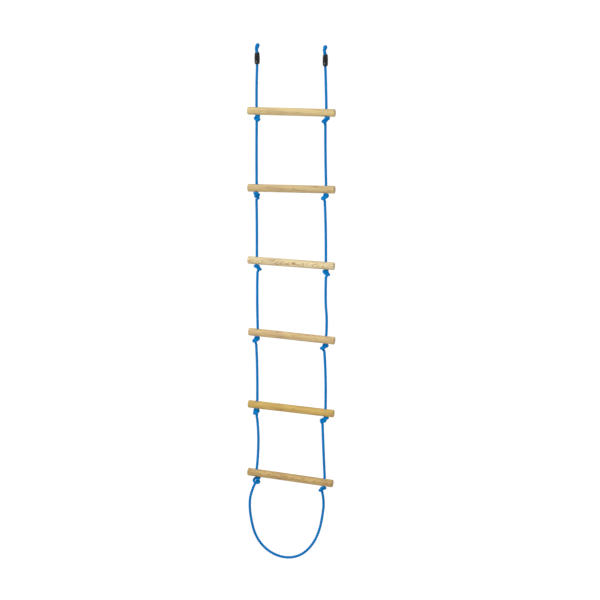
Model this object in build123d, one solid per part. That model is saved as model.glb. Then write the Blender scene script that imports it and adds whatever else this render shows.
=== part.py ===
from build123d import *
import os
from math import atan2, cos, degrees, pi, radians, sin, tan

# A hanging rope ladder. One laid rope comes down the left side, passes through the left hole of six wooden
# rungs, hangs in a free loop under the lowest rung and goes back up through the right holes. An overhand knot
# under each hole carries the rung. At each top end the rope turns over into an eye, and its tail is clamped
# beside it in an oval plastic barrel made of two shells and one screw.
#
# Millimetres. X runs along the rungs, Y from front to back, Z up. The origin is midway between the two eyes,
# level with the place where a hook carries the inside of the left one. Depths are measured down from there.

ROPE_D = 10.0
ROPE_R = ROPE_D / 2

RUNG_COUNT = 6
RUNG_LENGTH = 365.0
RUNG_R = 15.8
RUNG_CHAMFER = 1.8
HOLE_R = 5.3
HOLE_X = {"left": -146.3, "right": 146.3}
SIDES = tuple(HOLE_X)

# The knots were tied by hand, so the rungs hang a little unevenly. Depth of each rung's axis at its holes.
HOLE_DEPTHS = {
    "left": [263.0, 576.0, 874.0, 1172.0, 1475.0, 1763.0],
    "right": [265.0, 574.0, 884.0, 1189.0, 1492.0, 1785.0],
}
RUNG_SHIFTS = [0.8, 0.5, -0.4, 1.5, -1.2, -4.5]

# Each knot fills an oval lump. Its middle stands off the hole's line by the knot's shift, and the rope leaves
# it off that line by the knot's lean, both towards +X.
KNOT_HEIGHT = 26.0
KNOT_DEPTH_SHARE = 0.9
KNOT_OUTLINE = [(0.0, 6.5), (0.16, 10.6), (0.4, 12.2), (0.66, 11.6), (0.88, 8.4), (1.0, 5.6)]
KNOT_SHIFTS = {
    "left": [0.6, 3.5, -2.1, 2.5, 3.4, 0.5],
    "right": [3.1, 3.2, -2.2, 2.3, 0.6, 0.7],
}
KNOT_LEANS = {
    "left": [0.9, -1.4, 4.6, -3.0, 1.4, -3.8],
    "right": [-3.2, -5.7, 2.5, -4.4, -8.6, -4.0],
}

# A stretch of rope hangs almost straight. Each of its bows is a share of the way down, and how far the rope
# stands off its chord there, towards +X.
BOWS = {
    "left": [[(0.42, -1.2)], [(0.42, -0.9)], [(0.42, 1.0)], [(0.42, -1.9)], [(0.42, 2.6)], [(0.42, 8.4)]],
    "right": [
        [(0.42, 0.8)],
        [(0.42, -1.2)],
        [(0.42, 2.1)],
        [(0.42, -2.0), (0.74, 2.2)],
        [(0.42, 3.6)],
        [(0.42, -0.7)],
    ],
}

# The rope flexes at two places in each bay: under the knot or clamp above, and just over the rung below. A
# stretch ends there in a half ball round the pivot, and the fixed rope stops short of it by the flex gap.
FLEX_GAP = 0.3
PIVOT_DROP = ROPE_R + FLEX_GAP
PIVOT_RISE = ROPE_R + 0.7

# The clamp barrel: (depth, half width) down its oval body, and its half depth as a share of its half width.
CLAMP_X = {"left": -142.3, "right": 142.7}
CLAMP_TOP = 27.4
CLAMP_HEIGHT = 46.7
CLAMP_OUTLINE = [(0.0, 8.0), (0.08, 9.3), (0.3, 10.4), (0.55, 10.9), (0.8, 10.4), (0.94, 9.5), (1.0, 8.2)]
CLAMP_OVAL = 1.4
GROOVE_WIDTH = 2.4
GROOVE_DEPTH = 0.9
GROOVE_PLACES = [0.28, 0.455, 0.63]
SCREW_PLACE = 0.775
SCREW_SHANK_R = 1.5
SCREW_HEAD_R = 2.8
SCREW_HEAD_THICK = 1.6
SCREW_SUNK = 0.6
SCREW_LENGTH = 20.0
SLOT_WIDTH = 0.8
SLOT_LENGTH = 3.4
SLOT_DEPTH = 0.7

# The right eye and its clamp hang a little lower than the left ones.
END_DROPS = {"left": 0.0, "right": 4.2}

# The eye: a round bight whose inside top is at depth 0, and two strands side by side in the barrel.
EYE_R = 12.0
EYE_STEP = 52.5
STRAND_Y = 5.2
TAIL_END_DEPTH = 48.4
# The bight is a little twisted. X of its five turning points, from the back strand over to the front one.
EYE_TWISTS = {"left": [-6.5, 1.0, 2.2, 1.8, 1.4], "right": [-7.5, -1.0, -0.5, -0.3, 0.0]}

# Turning points of the free loop under the lowest rung, from its left knot round to its right one.
LOOP_POINTS = [
    (-175.5, 0.0, -1849.0),
    (-182.0, 0.0, -1903.0),
    (-174.5, 0.0, -1966.0),
    (-157.0, 0.0, -2030.0),
    (-119.0, 0.0, -2080.5),
    (-64.0, 0.0, -2111.5),
    (-4.0, 0.0, -2117.0),
    (50.5, 0.0, -2096.0),
    (95.0, 0.0, -2048.0),
    (122.0, 0.0, -1987.0),
    (134.5, 0.0, -1922.0),
    (140.5, 0.0, -1867.0),
]


def turns(points):
    """The turn at each inner point of a route, in degrees."""
    runs = [b - a for a, b in zip(points, points[1:])]
    return [a.get_angle(b) for a, b in zip(runs, runs[1:])]


def arc_radii(points):
    """The radius at each inner point: 0.45 of the shorter run over the tangent of half the turn."""
    lengths = [(b - a).length for a, b in zip(points, points[1:])]
    shorter = [min(a, b) for a, b in zip(lengths, lengths[1:])]
    return [0.45 * run / tan(radians(turn) / 2) for run, turn in zip(shorter, turns(points))]


def tube(name, points, ball_ends=False):
    """Rope along straight runs joined by tangent arcs, with its radii and volume printed. A ball end is half
    a ball round the route's last point, past the tube's flat end."""
    points = [Vector(p) for p in points]
    radii = arc_radii(points)
    path = FilletPolyline(*points, radius=radii)
    section = Plane(origin=path @ 0, z_dir=path % 0) * Circle(ROPE_R)
    rope = sweep(section, path=path)
    share = rope.volume / (pi * ROPE_R**2 * path.length)
    print(name, "length", round(path.length, 1), "volume over section x length", round(share, 4))
    print("   radii", [round(r) for r in radii], "turns", [round(t, 1) for t in turns(points)])
    if ball_ends:
        rope += Plane(origin=path @ 0, z_dir=-(path % 0)) * Sphere(ROPE_R, arc_size1=0)
        rope += Plane(origin=path @ 1, z_dir=path % 1) * Sphere(ROPE_R, arc_size1=0)
    return rope


def oval_body(outline, height, top, oval, shift=0.0, lean=0.0):
    """An upright lump: ovals of the outline's half widths. Its middle is off to one side by the shift, and
    its foot by the lean."""
    centres = [Pos(lean * t + shift * sin(pi * t), 0, top - height * t) for t, _ in outline]
    return loft([centre * Ellipse(r, r * oval) for centre, (_, r) in zip(centres, outline)])


# ---------------------------------------------------------------- rungs and the knots under them


def rung_place(k):
    """Where rung k hangs, with its tilt."""
    left, right = -HOLE_DEPTHS["left"][k], -HOLE_DEPTHS["right"][k]
    tilt = degrees(atan2(left - right, HOLE_X["right"] - HOLE_X["left"]))
    return Location((RUNG_SHIFTS[k], 0, (left + right) / 2), (0, tilt, 0))


def on_rung(k, x, z):
    """A point given along and above rung k, in the ladder's own frame."""
    return (rung_place(k) * Location((x, 0, z))).position


def make_rung(k):
    rod = Rot(0, 90, 0) * Cylinder(RUNG_R, RUNG_LENGTH)
    rod = chamfer(rod.edges().filter_by(GeomType.CIRCLE), RUNG_CHAMFER)
    for x in HOLE_X.values():
        rod -= Pos(x, 0, 0) * Cylinder(HOLE_R, 2 * RUNG_R + 2)
    return rung_place(k) * rod


def make_knot(k, side):
    shift, lean = KNOT_SHIFTS[side][k], KNOT_LEANS[side][k]
    lump = oval_body(KNOT_OUTLINE, KNOT_HEIGHT, -RUNG_R, KNOT_DEPTH_SHARE, shift, lean)
    return rung_place(k) * Pos(HOLE_X[side], 0, 0) * lump


def make_rope_in_rung(k, side):
    """The short length of rope in a rung's hole, down to the knot."""
    top = RUNG_R + PIVOT_RISE - PIVOT_DROP
    rope = Cylinder(ROPE_R, top + RUNG_R, align=(Align.CENTER, Align.CENTER, Align.MIN))
    return rung_place(k) * Pos(HOLE_X[side], 0, -RUNG_R) * rope


# ---------------------------------------------------------------- rope between the rungs


def pivot_under(k, side):
    """Where the rope flexes under rung k's knot, or under the clamp for k = -1."""
    if k < 0:
        return Vector(CLAMP_X[side], 0, -END_DROPS[side] - CLAMP_TOP - CLAMP_HEIGHT - PIVOT_DROP)
    return on_rung(k, HOLE_X[side] + KNOT_LEANS[side][k], -RUNG_R - KNOT_HEIGHT - PIVOT_DROP)


def pivot_over(k, side):
    """Where the rope flexes over rung k's hole."""
    return on_rung(k, HOLE_X[side], RUNG_R + PIVOT_RISE)


def make_stretch(k, side):
    """The rope from the knot or clamp above down to rung k."""
    top, bottom = pivot_under(k - 1, side), pivot_over(k, side)
    bows = [top + (bottom - top) * place + Vector(off, 0, 0) for place, off in BOWS[side][k]]
    return tube(f"{side}_rope_{k + 1}", [top, *bows, bottom], ball_ends=True)


def make_bottom_loop():
    last = RUNG_COUNT - 1
    points = [pivot_under(last, "left"), *[Vector(p) for p in LOOP_POINTS], pivot_under(last, "right")]
    return tube("bottom_loop", points, ball_ends=True)


# ---------------------------------------------------------------- eyes and clamps


def eye_points(side):
    """Up through the clamp on the back strand, over the bight and down the front strand to the tail's end."""
    x = CLAMP_X[side]
    reach = EYE_R / cos(radians(EYE_STEP / 2))
    centre = ROPE_R - EYE_R
    bight = []
    for i, twist in enumerate(EYE_TWISTS[side]):
        a = radians(EYE_STEP * (i - 2)) + pi / 2
        bight.append((x + twist, reach * cos(a), centre + reach * sin(a)))
    mouth = -CLAMP_TOP
    foot = mouth - CLAMP_HEIGHT
    up = [(x, 0, foot), (x, 0.4, foot + 14), (x, STRAND_Y, foot + 29), (x, STRAND_Y - 0.1, mouth)]
    down = [(x, -STRAND_Y, mouth), (x, -STRAND_Y, -TAIL_END_DEPTH)]
    return up + bight + down


def clamp_half_width(place):
    """The barrel's half width part of the way down, between the sections of its outline."""
    for (a, low), (b, high) in zip(CLAMP_OUTLINE, CLAMP_OUTLINE[1:]):
        if a <= place <= b:
            return low + (high - low) * (place - a) / (b - a)


def rod_from(start, radius, length):
    """A cylinder that starts part of the way along Z."""
    return Pos(0, 0, start) * Cylinder(radius, length, align=(Align.CENTER, Align.CENTER, Align.MIN))


def screw_place(side):
    """The middle of the screw head's face, looking into the clamp along Y."""
    front = -clamp_half_width(SCREW_PLACE) * CLAMP_OVAL + SCREW_SUNK
    return Location((CLAMP_X[side], front, -CLAMP_TOP - SCREW_PLACE * CLAMP_HEIGHT), (-90, 0, 0))


def make_screw(side):
    """Sunk in the front shell, through the rope and into the back shell, with a cross slot in its head."""
    slot = Box(SLOT_LENGTH, SLOT_WIDTH, 2 * SLOT_DEPTH)
    screw = rod_from(0, SCREW_HEAD_R, SCREW_HEAD_THICK) + rod_from(0, SCREW_SHANK_R, SCREW_LENGTH)
    return screw_place(side) * (screw - slot - Rot(0, 0, 90) * slot)


def make_screw_hole(side):
    """The room for the screw: its shank's hole and a counterbore out past the front shell."""
    counterbore = rod_from(SCREW_HEAD_THICK - SCREW_LENGTH, SCREW_HEAD_R, SCREW_LENGTH)
    return screw_place(side) * (counterbore + rod_from(0, SCREW_SHANK_R, SCREW_LENGTH))


def make_clamp_barrel(side):
    barrel = oval_body(CLAMP_OUTLINE, CLAMP_HEIGHT, -CLAMP_TOP, CLAMP_OVAL)
    for place in GROOVE_PLACES:
        floor = clamp_half_width(place) - GROOVE_DEPTH
        outside = floor + 4 * GROOVE_DEPTH
        ring = Ellipse(outside, outside * CLAMP_OVAL) - Ellipse(floor, floor * CLAMP_OVAL)
        barrel -= Pos(0, 0, -CLAMP_TOP - place * CLAMP_HEIGHT) * extrude(ring, GROOVE_WIDTH)
    return Pos(CLAMP_X[side], 0, 0) * barrel


def make_top_end(side):
    """The eye, the two clamp shells round it and their screw, cut so that they meet face to face, and hung at
    that side's height."""
    hole = make_screw_hole(side)
    eye = tube(f"{side}_eye", eye_points(side))
    barrel = make_clamp_barrel(side) - eye - hole
    front_half = Pos(CLAMP_X[side], 0, -CLAMP_TOP - CLAMP_HEIGHT / 2) * Box(
        2 * CLAMP_HEIGHT, CLAMP_HEIGHT, 2 * CLAMP_HEIGHT, align=(Align.CENTER, Align.MAX, Align.CENTER)
    )
    solids = {
        f"{side}_eye": eye - hole,
        f"{side}_clamp_front": barrel & front_half,
        f"{side}_clamp_back": barrel - front_half,
        f"{side}_clamp_screw": make_screw(side),
    }
    return {name: Pos(0, 0, -END_DROPS[side]) * solid for name, solid in solids.items()}


def make_ladder():
    nodes = {}
    for side in SIDES:
        nodes.update(make_top_end(side))
    for k in range(RUNG_COUNT):
        nodes[f"rung_{k + 1}"] = make_rung(k)
        for side in SIDES:
            nodes[f"{side}_rope_{k + 1}"] = make_stretch(k, side)
            nodes[f"{side}_rope_in_rung_{k + 1}"] = make_rope_in_rung(k, side)
            nodes[f"{side}_knot_{k + 1}"] = make_knot(k, side)
    nodes["bottom_loop"] = make_bottom_loop()
    return nodes


os.makedirs("parts", exist_ok=True)
for node, solid in make_ladder().items():
    export_step(solid, f"parts/{node}.step")
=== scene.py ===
from math import atan2, cos, pi, radians, sin

import bpy
import numpy as np
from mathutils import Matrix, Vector


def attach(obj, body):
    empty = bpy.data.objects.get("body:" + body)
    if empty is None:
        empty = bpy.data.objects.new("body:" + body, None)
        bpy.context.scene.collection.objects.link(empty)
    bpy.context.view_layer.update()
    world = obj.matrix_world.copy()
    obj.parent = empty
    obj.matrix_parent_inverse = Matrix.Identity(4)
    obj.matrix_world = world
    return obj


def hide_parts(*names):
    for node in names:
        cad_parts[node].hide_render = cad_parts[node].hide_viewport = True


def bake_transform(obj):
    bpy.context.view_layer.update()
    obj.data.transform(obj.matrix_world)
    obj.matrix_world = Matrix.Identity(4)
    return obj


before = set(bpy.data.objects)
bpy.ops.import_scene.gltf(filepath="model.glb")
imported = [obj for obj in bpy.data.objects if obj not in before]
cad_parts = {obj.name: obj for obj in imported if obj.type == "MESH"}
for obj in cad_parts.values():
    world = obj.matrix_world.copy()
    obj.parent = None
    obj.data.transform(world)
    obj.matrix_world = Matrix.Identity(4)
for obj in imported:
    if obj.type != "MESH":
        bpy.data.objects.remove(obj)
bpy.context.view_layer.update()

# A hanging rope ladder of laid blue rope, wooden rungs and black clamps. Everything is in metres, in the CAD
# model's frame: X along the rungs, Y from front to back, Z up. The origin is midway between the two eyes,
# level with the hook's seat in the left one.

# ---------------------------------------------------------------- the ladder's measures, as in the CAD model

SIDES = ("left", "right")
ROPE_R = 0.005
RUNG_COUNT = 6
RUNG_R = 0.0158
HOLE_X = {"left": -0.1463, "right": 0.1463}
HOLE_DEPTHS = {
    "left": [0.263, 0.576, 0.874, 1.172, 1.475, 1.763],
    "right": [0.265, 0.574, 0.884, 1.189, 1.492, 1.785],
}
RUNG_SHIFTS = [0.0008, 0.0005, -0.0004, 0.0015, -0.0012, -0.0045]
KNOT_HEIGHT = 0.026
KNOT_SHIFTS = {
    "left": [0.0006, 0.0035, -0.0021, 0.0025, 0.0034, 0.0005],
    "right": [0.0031, 0.0032, -0.0022, 0.0023, 0.0006, 0.0007],
}
KNOT_LEANS = {
    "left": [0.0009, -0.0014, 0.0046, -0.0030, 0.0014, -0.0038],
    "right": [-0.0032, -0.0057, 0.0025, -0.0044, -0.0086, -0.0040],
}

# Each stretch's bows, as (share of the way down, how far its spline is drawn off the chord there).
BOWS = {
    "left": [
        [(0.42, -0.0020)],
        [(0.42, -0.0011)],
        [(0.42, 0.0016)],
        [(0.42, -0.0030)],
        [(0.42, 0.0042)],
        [(0.42, 0.0135)],
    ],
    "right": [
        [(0.42, 0.0012)],
        [(0.42, -0.0020)],
        [(0.42, 0.0034)],
        [(0.42, -0.0035), (0.74, 0.0040)],
        [(0.42, 0.0058)],
        [(0.42, -0.0011)],
    ],
}
PIVOT_DROP = ROPE_R + 0.0003
PIVOT_RISE = ROPE_R + 0.0007
CLAMP_X = {"left": -0.1423, "right": 0.1427}
CLAMP_TOP = 0.0274
CLAMP_HEIGHT = 0.0467
END_DROPS = {"left": 0.0, "right": 0.0042}

# The eye's turning points as (Y, Z), and how far its bight is twisted along X at each of its five.
EYE_TAIL = [(-0.0052, -0.0484), (-0.0052, -0.0274)]
EYE_BIGHT = [(-0.0129, -0.0150), (-0.0106, 0.0008), (0.0, 0.0055), (0.0106, 0.0008), (0.0129, -0.0150)]
EYE_STEM = [(0.0051, -0.0274), (0.0052, -0.0451), (0.0004, -0.0601), (0.0, -0.0794)]
EYE_TWISTS = {
    "left": [-0.0007, 0.0008, 0.0026, 0.0030, -0.0064],
    "right": [-0.0020, -0.0010, 0.0, 0.0008, -0.0076],
}

# Turning points of the free loop under the lowest rung, between the flex points under its two knots.
LOOP_POINTS = [
    (-0.1755, 0.0, -1.8490),
    (-0.1820, 0.0, -1.9030),
    (-0.1745, 0.0, -1.9660),
    (-0.1570, 0.0, -2.0300),
    (-0.1190, 0.0, -2.0805),
    (-0.0640, 0.0, -2.1115),
    (-0.0040, 0.0, -2.1170),
    (0.0505, 0.0, -2.0960),
    (0.0950, 0.0, -2.0480),
    (0.1220, 0.0, -1.9870),
    (0.1345, 0.0, -1.9220),
    (0.1405, 0.0, -1.8670),
]

# ---------------------------------------------------------------- the rope's lay, and how each knot was tied

STRANDS = 3
LAY_LENGTH = 0.0325
STRAND_R = 0.0032
STRAND_OFFSET = 0.0027
RING_STEP = 0.0012
RING_POINTS = 24

# Each knot's tying, how far it is turned about the rope in degrees, the hand that it was tied with, and how
# far its body slopes to -X for each metre down.
KNOTS = {
    "left": [
        ("full", 96, 1, -0.08),
        ("full", 297, 1, -0.37),
        ("full", 44, -1, -0.15),
        ("full", 268, -1, 0.39),
        ("open", 251, -1, 0.08),
        ("loose", 111, 1, -0.14),
    ],
    "right": [
        ("open", 26, 1, -0.04),
        ("full", 269, -1, 0.42),
        ("full", 126, 1, -0.32),
        ("full", 237, -1, 0.35),
        ("open", 76, 1, 0.24),
        ("full", 341, 1, 0.01),
    ],
}

# How much more rope than the knot's height each tying takes, and how close its turns lie, in rope widths.
TYINGS = {"full": (0.074, 0.86), "open": (0.090, 0.90), "loose": (0.114, 1.18)}
KNOT_DROP = KNOT_HEIGHT + PIVOT_DROP
KNOT_TOP = 0.004
KNOT_BODY = 0.020

# How far below the rung a knot's middle is, and the lengths of rope over which its shift and slope come in
# under the rung and go out again above the flex point.
KNOT_MIDDLE = 0.011
KNOT_EASE_IN = 0.005
KNOT_EASE_OUT = 0.007

# The slack knot's size along X, Y and Z and how far down it hangs, in millimetres. Then how it is drawn
# tight: the share by which each round straightens it, how far a round lifts it, how often its turns are moved
# apart in a round, and how close to the rung's underside its turns may come, in rope radii.
SLACK_SIZE = (4.0, 3.5, 1.3)
SLACK_DROP = 17
STRAIGHTENING = 0.15
LIFT = 0.00003
PUSHES = 3
CLOSEST = 0.9

# How far above and below a flex point the rope takes its bend from.
BEND_INSIDE = 0.011


# ---------------------------------------------------------------- places on the ladder


def rung_axes(k):
    """Rung k's middle, the direction along it and the direction up from it."""
    left, right = -HOLE_DEPTHS["left"][k], -HOLE_DEPTHS["right"][k]
    tilt = atan2(left - right, HOLE_X["right"] - HOLE_X["left"])
    middle = np.array([RUNG_SHIFTS[k], 0, (left + right) / 2])
    return middle, np.array([cos(tilt), 0, -sin(tilt)]), np.array([sin(tilt), 0, cos(tilt)])


def on_rung(k, points):
    """Points given along, behind and above rung k's middle, in the ladder's frame."""
    middle, along, up = rung_axes(k)
    points = np.atleast_2d(points)
    return middle + points[:, :1] * along + points[:, 1:2] * np.array([0, 1, 0]) + points[:, 2:] * up


def pivot_under(k, side):
    """Where the rope flexes under rung k's knot, or under the clamp for k = -1."""
    if k < 0:
        return np.array([CLAMP_X[side], 0, -END_DROPS[side] - CLAMP_TOP - CLAMP_HEIGHT - PIVOT_DROP])
    x = HOLE_X[side] + KNOT_LEANS[side][k]
    return on_rung(k, (x, 0, -RUNG_R - KNOT_DROP))[0]


def pivot_over(k, side):
    """Where the rope flexes over rung k's hole."""
    return on_rung(k, (HOLE_X[side], 0, RUNG_R + PIVOT_RISE))[0]


# ---------------------------------------------------------------- camera, light and floor


FLOOR_SIZE = 500
FLOOR_HEIGHT = -2.45
FLOOR_TONE = 0.81


def make_camera():
    """From in front and a little above, turned so that the rungs' right ends are nearer."""
    aim = Vector((0.0346, 0.0099, -1.031))
    distance, yaw, pitch = 9.0, radians(16), radians(8.85)
    away = Vector((sin(yaw) * cos(pitch), -cos(yaw) * cos(pitch), sin(pitch)))
    data = bpy.data.cameras.new("camera")
    data.lens = 132.3
    data.sensor_width = 36
    data.clip_end = 1000
    camera = bpy.data.objects.new("camera", data)
    camera.location = aim + away * distance
    camera.rotation_euler = (aim - camera.location).to_track_quat("-Z", "Y").to_euler()
    bpy.context.collection.objects.link(camera)
    bpy.context.scene.camera = camera


def make_key_light():
    """One large soft light, from high on the left in front."""
    data = bpy.data.lights.new("key_light", "SUN")
    data.angle = radians(35)
    data.energy = 1.9
    light = bpy.data.objects.new("key_light", data)
    light.location = (-2.6, -3.6, 4.2)
    light.rotation_euler = (-Vector(light.location)).to_track_quat("-Z", "Y").to_euler()
    bpy.context.collection.objects.link(light)


def make_studio():
    """The light, a white surrounding and a pale floor well below the ladder."""
    make_key_light()
    world = bpy.data.worlds.new("studio")
    world.use_nodes = True
    background = world.node_tree.nodes["Background"]
    background.inputs["Color"].default_value = (1, 1, 1, 1)
    background.inputs["Strength"].default_value = 0.9
    bpy.context.scene.world = world
    bpy.context.scene.view_settings.view_transform = "Standard"
    bpy.ops.mesh.primitive_plane_add(size=FLOOR_SIZE, location=(0, 0, FLOOR_HEIGHT))
    floor = bpy.context.object
    floor.name = "floor"
    material = bpy.data.materials.new("floor")
    material.use_nodes = True
    shader = material.node_tree.nodes["Principled BSDF"]
    shader.inputs["Base Color"].default_value = (FLOOR_TONE, FLOOR_TONE, FLOOR_TONE, 1)
    shader.inputs["Roughness"].default_value = 0.9
    shader.inputs["Specular IOR Level"].default_value = 0.1
    floor.data.materials.append(material)


# ---------------------------------------------------------------- materials


def new_material(name):
    """A new material with its nodes, their links and its main shader."""
    material = bpy.data.materials.new(name)
    material.use_nodes = True
    nodes, links = material.node_tree.nodes, material.node_tree.links
    return material, nodes, links, nodes["Principled BSDF"]


def add_node(nodes, kind, **inputs):
    """A shader node with some of its inputs set by name."""
    node = nodes.new(kind)
    for name, value in inputs.items():
        node.inputs[name.replace("_", " ")].default_value = value
    return node


def add_math(nodes, links, operation, first, second=None):
    """A Math node on one value, and a second value or a number."""
    node = nodes.new("ShaderNodeMath")
    node.operation = operation
    links.new(first, node.inputs[0])
    if isinstance(second, float):
        node.inputs[1].default_value = second
    elif second is not None:
        links.new(second, node.inputs[1])
    return node.outputs["Value"]


def add_noise(nodes, links, vector, scale, detail=2.0):
    """Smooth noise over a place, with its own scale along each axis."""
    drawn = add_node(nodes, "ShaderNodeMapping", Scale=scale)
    noise = add_node(nodes, "ShaderNodeTexNoise", Scale=1.0, Detail=detail)
    links.new(vector, drawn.inputs["Vector"])
    links.new(drawn.outputs["Vector"], noise.inputs["Vector"])
    return noise.outputs["Fac"]


def add_product(nodes, links, first, second):
    """One colour multiplied by another."""
    mix = nodes.new("ShaderNodeMix")
    mix.data_type = "RGBA"
    mix.blend_type = "MULTIPLY"
    mix.inputs["Factor"].default_value = 1.0
    links.new(first, mix.inputs["A"])
    links.new(second, mix.inputs["B"])
    return mix.outputs["Result"]


def ramped(nodes, links, value, *stops):
    """A value turned into a colour by a ramp through (position, colour) stops."""
    ramp = nodes.new("ShaderNodeValToRGB")
    elements = ramp.color_ramp.elements
    while len(elements) < len(stops):
        elements.new(0.5)
    for element, (position, colour) in zip(elements, stops):
        element.position = position
        element.color = (*colour, 1)
    links.new(value, ramp.inputs["Fac"])
    return ramp.outputs["Color"]


def add_bump(nodes, links, height, strength, distance):
    """A bump of the surface by a height."""
    bump = add_node(nodes, "ShaderNodeBump", Strength=strength, Distance=distance)
    links.new(height, bump.inputs["Height"])
    return bump


def make_rope_material():
    """Bright blue polypropylene: fine filaments along each strand, painted shade with some dirt down between
    the strands, and a little darker towards the ladder's foot."""
    material, nodes, links, shader = new_material("rope")
    uv = nodes.new("ShaderNodeUVMap")
    uv.uv_map = "lay"
    place = nodes.new("ShaderNodeTexCoord")
    filaments = add_noise(nodes, links, uv.outputs["UV"], (40, 5, 1), detail=3.0)
    patches = add_noise(nodes, links, place.outputs["Object"], (22, 22, 22))
    split = nodes.new("ShaderNodeSeparateXYZ")
    links.new(uv.outputs["UV"], split.inputs["Vector"])
    strands = add_math(nodes, links, "MULTIPLY", split.outputs["X"], float(STRANDS))
    across_strand = add_math(nodes, links, "FRACT", strands)
    from_groove = add_math(nodes, links, "ABSOLUTE", add_math(nodes, links, "SUBTRACT", across_strand, 0.5))
    colour = ramped(
        nodes,
        links,
        filaments,
        (0.3, (0.0, 0.146, 0.43)),
        (0.5, (0.0, 0.216, 0.57)),
        (0.72, (0.002, 0.32, 0.76)),
    )
    tint = ramped(nodes, links, patches, (0.35, (0.85, 0.88, 0.92)), (0.65, (1.0, 1.0, 1.0)))
    # The colour is made darker towards the ladder's foot, going by height.
    height = nodes.new("ShaderNodeSeparateXYZ")
    links.new(place.outputs["Object"], height.inputs["Vector"])
    depth = add_math(nodes, links, "MULTIPLY", height.outputs["Z"], -0.45)
    dulled = ramped(nodes, links, depth, (0.5, (1.0, 1.0, 1.0)), (0.95, (0.87, 0.87, 0.87)))
    # Painted shade, with some dirt, darkening the grooves between the strands.
    groove_shade_and_dirt = ramped(
        nodes,
        links,
        from_groove,
        (0.0, (0.30, 0.34, 0.42)),
        (0.16, (0.62, 0.66, 0.72)),
        (0.34, (1.0, 1.0, 1.0)),
    )
    patches_and_lower_darkening = add_product(nodes, links, tint, dulled)
    shaded = add_product(nodes, links, add_product(nodes, links, colour, patches_and_lower_darkening), groove_shade_and_dirt)
    links.new(shaded, shader.inputs["Base Color"])
    shader.inputs["Roughness"].default_value = 0.6
    shader.inputs["Specular IOR Level"].default_value = 0.04
    bump = add_bump(nodes, links, filaments, 0.6, 0.0005)
    links.new(bump.outputs["Normal"], shader.inputs["Normal"])
    return material


# Each rung's wood, from the top rung down: the early wood's colour, where the log's heart lies from the
# rung's middle in Y and Z, how far the growth rings taper over each metre of rung, their spacing, and how
# strongly they and the flecks show.
WOODS = [
    ((0.545, 0.438, 0.218), (0.052, 0.012), -0.075, 0.0042, 0.3),
    ((0.504, 0.399, 0.212), (0.030, 0.050), 0.010, 0.0036, 0.7),
    ((0.619, 0.537, 0.335), (0.060, 0.008), 0.120, 0.0040, 1.0),
    ((0.521, 0.397, 0.203), (0.034, -0.040), 0.016, 0.0034, 0.5),
    ((0.487, 0.345, 0.098), (0.026, 0.045), -0.012, 0.0038, 0.6),
    ((0.440, 0.314, 0.128), (0.048, -0.016), 0.050, 0.0044, 0.8),
]


def mixed(first, second, share):
    """Colours part of the way from one to another."""
    return tuple(a + (b - a) * share for a, b in zip(first, second))


# How far the growth rings waver, and the share of the wood's brightness that a rung's cut ends have.
WAVER = 0.016
END_SHADE = 0.85


def make_wood_material(k):
    """Sanded pale softwood. Its growth rings are cones round the log's heart: they show as arches."""
    tone, heart, taper, spacing, strength = WOODS[k]
    material, nodes, links, shader = new_material(f"wood_{k + 1}")
    middle = rung_axes(k)[0]
    place = nodes.new("ShaderNodeTexCoord")
    cut = add_node(nodes, "ShaderNodeMapping", Location=tuple(-middle))
    links.new(place.outputs["Object"], cut.inputs["Vector"])
    spot = cut.outputs["Vector"]
    sideways = add_node(nodes, "ShaderNodeMapping", Scale=(0, 1, 1), Location=(0, -heart[0], -heart[1]))
    links.new(spot, sideways.inputs["Vector"])
    radius = nodes.new("ShaderNodeVectorMath")
    radius.operation = "LENGTH"
    links.new(sideways.outputs["Vector"], radius.inputs[0])
    split = nodes.new("ShaderNodeSeparateXYZ")
    links.new(spot, split.inputs["Vector"])
    waver = add_math(nodes, links, "MULTIPLY", add_noise(nodes, links, spot, (17 + k, 45, 45)), WAVER)
    growth = add_math(nodes, links, "ADD", radius.outputs["Value"], waver)
    tapered = add_math(nodes, links, "MULTIPLY", split.outputs["X"], taper)
    growth = add_math(nodes, links, "ADD", growth, tapered)
    ring = add_math(nodes, links, "FRACT", add_math(nodes, links, "MULTIPLY", growth, 1 / spacing))
    fibres = add_noise(nodes, links, spot, (16, 700, 700), detail=4.0)
    streaks = add_noise(nodes, links, spot, (7 + k, 150, 150))
    flecks = add_noise(nodes, links, spot, (34, 240, 240), detail=1.0)
    white = (1.0, 1.0, 1.0)
    late = mixed(white, (0.66, 0.54, 0.40), strength)
    rings = ramped(nodes, links, ring, (0.0, white), (0.45, white), (0.86, late), (1.0, white))
    tones = ramped(nodes, links, streaks, (0.38, (0.86, 0.79, 0.80)), (0.60, (1.07, 1.06, 0.98)))
    marks = ramped(nodes, links, flecks, (0.64, white), (0.74, mixed(white, (0.62, 0.46, 0.36), strength)))
    lines = ramped(nodes, links, fibres, (0.3, (0.82, 0.78, 0.72)), (0.6, white))
    figure = add_product(nodes, links, rings, tones)
    shade = add_product(nodes, links, figure, add_product(nodes, links, marks, lines))
    facing = nodes.new("ShaderNodeSeparateXYZ")
    links.new(place.outputs["Normal"], facing.inputs["Vector"])
    end_on = add_math(nodes, links, "ABSOLUTE", facing.outputs["X"])
    ends = ramped(nodes, links, end_on, (0.25, tone), (0.6, tuple(END_SHADE * c for c in tone)))
    links.new(add_product(nodes, links, ends, shade), shader.inputs["Base Color"])
    shader.inputs["Roughness"].default_value = 0.55
    shader.inputs["Specular IOR Level"].default_value = 0.3
    bump = add_bump(nodes, links, fibres, 0.35, 0.0004)
    links.new(bump.outputs["Normal"], shader.inputs["Normal"])
    return material


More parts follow.
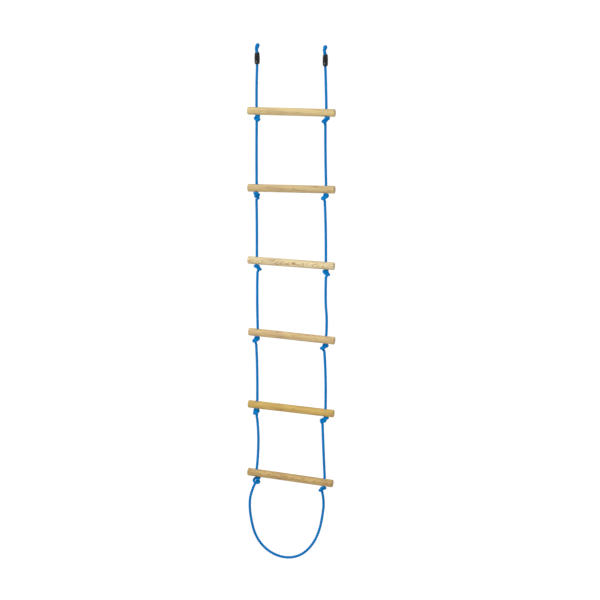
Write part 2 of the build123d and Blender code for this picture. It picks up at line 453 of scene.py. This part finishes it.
def make_clamp_material():
    """Black moulded plastic with a fine satin texture."""
    material, nodes, links, shader = new_material("clamp_plastic")
    place = nodes.new("ShaderNodeTexCoord")
    grain = add_node(nodes, "ShaderNodeTexNoise", Scale=1400.0, Detail=2.0)
    scuffs = add_node(nodes, "ShaderNodeTexNoise", Scale=90.0, Detail=4.0)
    links.new(place.outputs["Object"], grain.inputs["Vector"])
    links.new(place.outputs["Object"], scuffs.inputs["Vector"])
    dark, light = (0.004, 0.0035, 0.004), (0.011, 0.009, 0.011)
    colour = ramped(nodes, links, scuffs.outputs["Fac"], (0.4, dark), (0.75, light))
    links.new(colour, shader.inputs["Base Color"])
    gloss = nodes.new("ShaderNodeMapRange")
    gloss.inputs["To Min"].default_value = 0.45
    gloss.inputs["To Max"].default_value = 0.62
    links.new(scuffs.outputs["Fac"], gloss.inputs["Value"])
    links.new(gloss.outputs["Result"], shader.inputs["Roughness"])
    shader.inputs["Specular IOR Level"].default_value = 0.25
    bump = add_bump(nodes, links, grain.outputs["Fac"], 0.25, 0.0001)
    links.new(bump.outputs["Normal"], shader.inputs["Normal"])
    return material


def make_screw_material():
    """Zinc-plated steel, a little dulled."""
    material, nodes, links, shader = new_material("screw_steel")
    place = nodes.new("ShaderNodeTexCoord")
    dulled = add_node(nodes, "ShaderNodeTexNoise", Scale=700.0, Detail=3.0)
    links.new(place.outputs["Object"], dulled.inputs["Vector"])
    dark, light = (0.17, 0.17, 0.18), (0.28, 0.28, 0.29)
    colour = ramped(nodes, links, dulled.outputs["Fac"], (0.3, dark), (0.7, light))
    links.new(colour, shader.inputs["Base Color"])
    shader.inputs["Metallic"].default_value = 1.0
    shader.inputs["Roughness"].default_value = 0.34
    return material


# ---------------------------------------------------------------- the rope's line


def route_line(points):
    """Close points along the smooth spline that a rope's turning points control."""
    curve = bpy.data.curves.new("route", "CURVE")
    curve.dimensions = "3D"
    curve.resolution_u = 32
    spline = curve.splines.new("NURBS")
    spline.points.add(len(points) - 1)
    for point, place in zip(spline.points, points):
        point.co = (*place, 1)
    spline.order_u = 3
    spline.use_endpoint_u = True
    holder = bpy.data.objects.new("route", curve)
    mesh = bpy.data.meshes.new_from_object(holder)
    line = np.array([v.co for v in mesh.vertices], float)
    bpy.data.objects.remove(holder)
    bpy.data.curves.remove(curve)
    bpy.data.meshes.remove(mesh)
    return line


def spaced(line, step=None, count=None):
    """The line again with its points evenly spaced, about a step apart."""
    runs = np.linalg.norm(np.diff(line, axis=0), axis=1)
    along = np.concatenate([[0], np.cumsum(runs)])
    count = count or max(2, round(along[-1] / step) + 1)
    wanted = np.linspace(0, along[-1], count)
    return np.stack([np.interp(wanted, along, line[:, i]) for i in range(3)], axis=1)


def joined(*lines):
    """Lines that follow on from each other, as one."""
    return np.concatenate([lines[0]] + [line[1:] for line in lines[1:]])


def push_apart(line, near, gap):
    """Moves turns of the knot that press into each other apart."""
    between = line[:, None, :] - line[None, :, :]
    far = np.sqrt((between**2).sum(axis=2))
    steps = np.abs(np.subtract.outer(np.arange(len(line)), np.arange(len(line))))
    touching = (steps > near) & (far < gap)
    share = np.where(touching, gap / np.maximum(far, 1e-9) - 1, 0.0)
    shares = np.maximum(touching.sum(axis=1), 1)[:, None]
    line += 0.5 * (between * share[:, :, None]).sum(axis=1) / shares


def even_out(line, step):
    """Moves neighbours along the line a step apart."""
    for start in (0, 1):
        count = (len(line) - start) // 2
        a, b = line[start::2][:count], line[start + 1 :: 2][:count]
        run = b - a
        shift = 0.5 * run * (1 - step / np.linalg.norm(run, axis=1, keepdims=True))
        a += shift
        b -= shift


def tie_knot(extra, closeness, points=90, rounds=330, settling=90):
    """The line of an overhand knot, pulled up against a rung's underside at z = 0 from a slack one. It comes
    down out of the hole along Z and leaves downwards, and its turns are kept a rope's width apart."""
    t = np.linspace(2.25, -2.25, 200)
    x = SLACK_SIZE[0] * (t**3 - 3 * t)
    y = SLACK_SIZE[1] * (t**4 - 4 * t**2 + 2)
    z = SLACK_SIZE[2] * (t**5 - 10 * t) - SLACK_DROP
    slack = np.stack([x, y, z], axis=1) / 1000
    high, low = np.array([0, 0, KNOT_TOP]), np.array([0, 0, -KNOT_DROP])
    ramp = np.linspace(0, 1, 30)[:, None]
    into, out = high + ramp * (slack[0] - high), slack[-1] + ramp * (low - slack[-1])
    line = np.concatenate([into, slack[1:-1], out])
    length = np.linalg.norm(np.diff(line, axis=0), axis=1).sum()
    line = spaced(line, count=points)
    lengths = np.geomspace(length, KNOT_TOP + KNOT_DROP + extra, rounds - settling)
    for i in range(rounds):
        step = lengths[min(i, len(lengths) - 1)] / (points - 1)
        in_hole = int(KNOT_TOP / step) + 1
        line[2:-2] += STRAIGHTENING * (0.5 * (line[:-4] + line[4:]) - line[2:-2])
        line[:, 2] += LIFT
        for _ in range(PUSHES):
            push_apart(line, int(3 * ROPE_R / step) + 1, closeness * 2 * ROPE_R)
            even_out(line, step)
            under = line[in_hole + 5 :, 2]
            np.minimum(under, -CLOSEST * ROPE_R, out=under)
            line[:in_hole, :2] = 0
            line[-3:, :2] = 0
            line[0], line[-1] = high, low
    return line


def eased(share):
    """A share held between 0 and 1 that starts and stops gently."""
    share = np.clip(share, 0, 1)
    return share * share * (3 - 2 * share)


def knot_line(k, side, tied):
    """Rung k's knot, from inside the hole down to the flex point, turned and leaning as it hangs."""
    tying, turn, hand, slope = KNOTS[side][k]
    x, y, z = tied[tying].T
    c, s = cos(radians(turn)), sin(radians(turn))
    x, y = hand * x * c - y * s, hand * x * s + y * c
    body = eased(-z / KNOT_EASE_IN) * eased((z + KNOT_DROP) / KNOT_EASE_OUT)
    x = x + body * (KNOT_SHIFTS[side][k] + slope * (z + KNOT_MIDDLE))
    x = x + eased(-z / KNOT_DROP) * KNOT_LEANS[side][k]
    return on_rung(k, np.stack([HOLE_X[side] + x, y, z - RUNG_R], axis=1))


def cut_below(line, k, side):
    """A knot's line in two: its body, and its tail that hangs out below."""
    _, _, up = rung_axes(k)
    depth = (on_rung(k, (HOLE_X[side], 0, -RUNG_R)) - line) @ up
    start = len(line) - 1
    while start > 0 and depth[start - 1] > KNOT_BODY and depth[start - 1] < depth[start]:
        start -= 1
    return line[: start + 1], line[start:]


def eye_line(side):
    """The eye's line, from the tail's end in the clamp over the bight and down to the flex point."""
    twists = [0.0] * len(EYE_TAIL) + EYE_TWISTS[side] + [0.0] * len(EYE_STEM)
    turning = zip(twists, EYE_TAIL + EYE_BIGHT + EYE_STEM)
    return route_line([(CLAMP_X[side] + twist, y, z - END_DROPS[side]) for twist, (y, z) in turning])


def side_lines(side, tied):
    """The named lines down one side of the ladder, from the tail in its clamp to the lowest knot's tail."""
    eye = eye_line(side)
    bend_start = pivot_under(-1, side)[2] + PIVOT_DROP + BEND_INSIDE
    half = len(eye) // 2
    foot = half + int(np.argmin(np.abs(eye[half:, 2] - bend_start)))
    lines = {f"{side}_eye": eye[: foot + 1]}
    tail = eye[foot:]
    for k in range(RUNG_COUNT):
        top, bottom = pivot_under(k - 1, side), pivot_over(k, side)
        bows = [top + (bottom - top) * place + np.array([off, 0, 0]) for place, off in BOWS[side][k]]
        stretch = spaced(route_line([top, *bows, bottom]), RING_STEP)
        middle = len(stretch) // 2
        knot = knot_line(k, side, tied)
        hole = np.stack([bottom, knot[0]])
        lines[f"{side}_rope_{k + 1}_upper"] = joined(tail, stretch[: middle + 1])
        lines[f"{side}_rope_{k + 1}_lower"] = joined(stretch[middle:], hole)
        lines[f"{side}_knot_{k + 1}"], tail = cut_below(knot, k, side)
    return lines, tail


def whole_rope(tied):
    """Every named line from the left tail, down round the loop and up to the right tail, in order."""
    last = RUNG_COUNT - 1
    down, left_tail = side_lines("left", tied)
    up, right_tail = side_lines("right", tied)
    loop = route_line([pivot_under(last, "left"), *LOOP_POINTS, pivot_under(last, "right")])
    lines = dict(down)
    lines["bottom_loop"] = joined(left_tail, loop, right_tail[::-1])
    lines.update({name: line[::-1] for name, line in reversed(list(up.items()))})
    return {name: spaced(line, RING_STEP) for name, line in lines.items()}


# ---------------------------------------------------------------- the rope's surface


def directions(line):
    """The direction of travel at each point, and two axes across it that turn no more than they must."""
    travel = np.gradient(line, axis=0)
    travel /= np.linalg.norm(travel, axis=1, keepdims=True)
    across = np.empty_like(travel)
    across[0] = np.cross(travel[0], (0, 1, 0))
    across[0] /= np.linalg.norm(across[0])
    for i in range(1, len(line)):
        across[i] = across[i - 1] - travel[i] * (across[i - 1] @ travel[i])
        across[i] /= np.linalg.norm(across[i])
    return travel, across, np.cross(travel, across)


def strand_profile():
    """The angle and radius of each point round a cross section, where the strands are pressed together."""
    angles = np.arange(RING_POINTS) * 2 * pi / RING_POINTS
    share = 2 * pi / STRANDS
    off = (angles + share / 2) % share - share / 2
    radii = STRAND_OFFSET * np.cos(off) + np.sqrt(STRAND_R**2 - (STRAND_OFFSET * np.sin(off)) ** 2)
    return angles, radii


def lay_rings(line, start):
    """The rope's cross sections along the whole line, each turned on from the last by the lay."""
    angles, radii = strand_profile()
    _, across, other = directions(line)
    turn = (start[:, None] * 2 * pi / LAY_LENGTH) + angles[None, :]
    spread = radii * np.cos(turn)
    rise = radii * np.sin(turn)
    return line[:, None, :] + spread[:, :, None] * across[:, None, :] + rise[:, :, None] * other[:, None, :]


def rope_piece(name, rings, along, material):
    """One length of rope as a closed-round mesh, with UVs round and along it."""
    count, n = len(rings), RING_POINTS
    faces = [
        (i * n + j, i * n + (j + 1) % n, (i + 1) * n + (j + 1) % n, (i + 1) * n + j)
        for i in range(count - 1)
        for j in range(n)
    ]
    mesh = bpy.data.meshes.new(name)
    mesh.from_pydata(rings.reshape(-1, 3).tolist(), [], faces)
    uv = mesh.uv_layers.new(name="lay")
    for i in range(count - 1):
        for j in range(n):
            first = 4 * (i * n + j)
            for corner, (p, q) in enumerate(((i, j), (i, j + 1), (i + 1, j + 1), (i + 1, j))):
                uv.data[first + corner].uv = (q / n, along[p] / LAY_LENGTH)
    mesh.materials.append(material)
    for polygon in mesh.polygons:
        polygon.use_smooth = True
    piece = bpy.data.objects.new(name, mesh)
    bpy.context.collection.objects.link(piece)
    return piece


def bend_at(piece):
    """Bakes the placing of a length of rope between two bodies into its mesh."""
    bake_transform(piece)


def build_rope(material):
    """Every named length of rope with its line, cut from one continuous surface so that no joint shows."""
    tied = {name: tie_knot(*how) for name, how in TYINGS.items()}
    lines = whole_rope(tied)
    whole = joined(*lines.values())
    along = np.concatenate([[0], np.cumsum(np.linalg.norm(np.diff(whole, axis=0), axis=1))])
    rings = lay_rings(whole, along)
    pieces, first = {}, 0
    for name, line in lines.items():
        last = first + len(line) - 1
        pieces[name] = rope_piece(name + "_laid", rings[first : last + 1], along[first : last + 1], material)
        first = last
    return pieces, lines


def attach_rope(pieces):
    """Puts the eyes and knots on their bodies, bakes the other lengths in place, and hides the CAD model's
    plain rope.
    """
    for side in SIDES:
        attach(pieces[f"{side}_eye"], "top_ends")
        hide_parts(f"{side}_eye")
        for k in range(RUNG_COUNT):
            n = k + 1
            upper, lower = (f"{side}_rope_{n}_{part}" for part in ("upper", "lower"))
            knot = pieces[f"{side}_knot_{n}"]
            bend_at(pieces[upper])
            bend_at(pieces[lower])
            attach(knot, f"rung_{n}")
            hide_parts(f"{side}_knot_{n}")
            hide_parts(f"{side}_rope_{n}")
            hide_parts(f"{side}_rope_in_rung_{n}")
    loop = pieces["bottom_loop"]
    bend_at(loop)
    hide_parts("bottom_loop")


def finish_hard_parts():
    """Gives the CAD model's rungs, clamps and screws their materials."""
    plastic, steel = make_clamp_material(), make_screw_material()
    looks = {f"rung_{k + 1}": make_wood_material(k) for k in range(RUNG_COUNT)}
    for side in SIDES:
        looks[f"{side}_clamp_front"] = plastic
        looks[f"{side}_clamp_back"] = plastic
        looks[f"{side}_clamp_screw"] = steel
    for name, material in looks.items():
        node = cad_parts[name]
        node.data.materials.clear()
        node.data.materials.append(material)


make_camera()
rope_pieces, rope_lines = build_rope(make_rope_material())
attach_rope(rope_pieces)
finish_hard_parts()
make_studio()
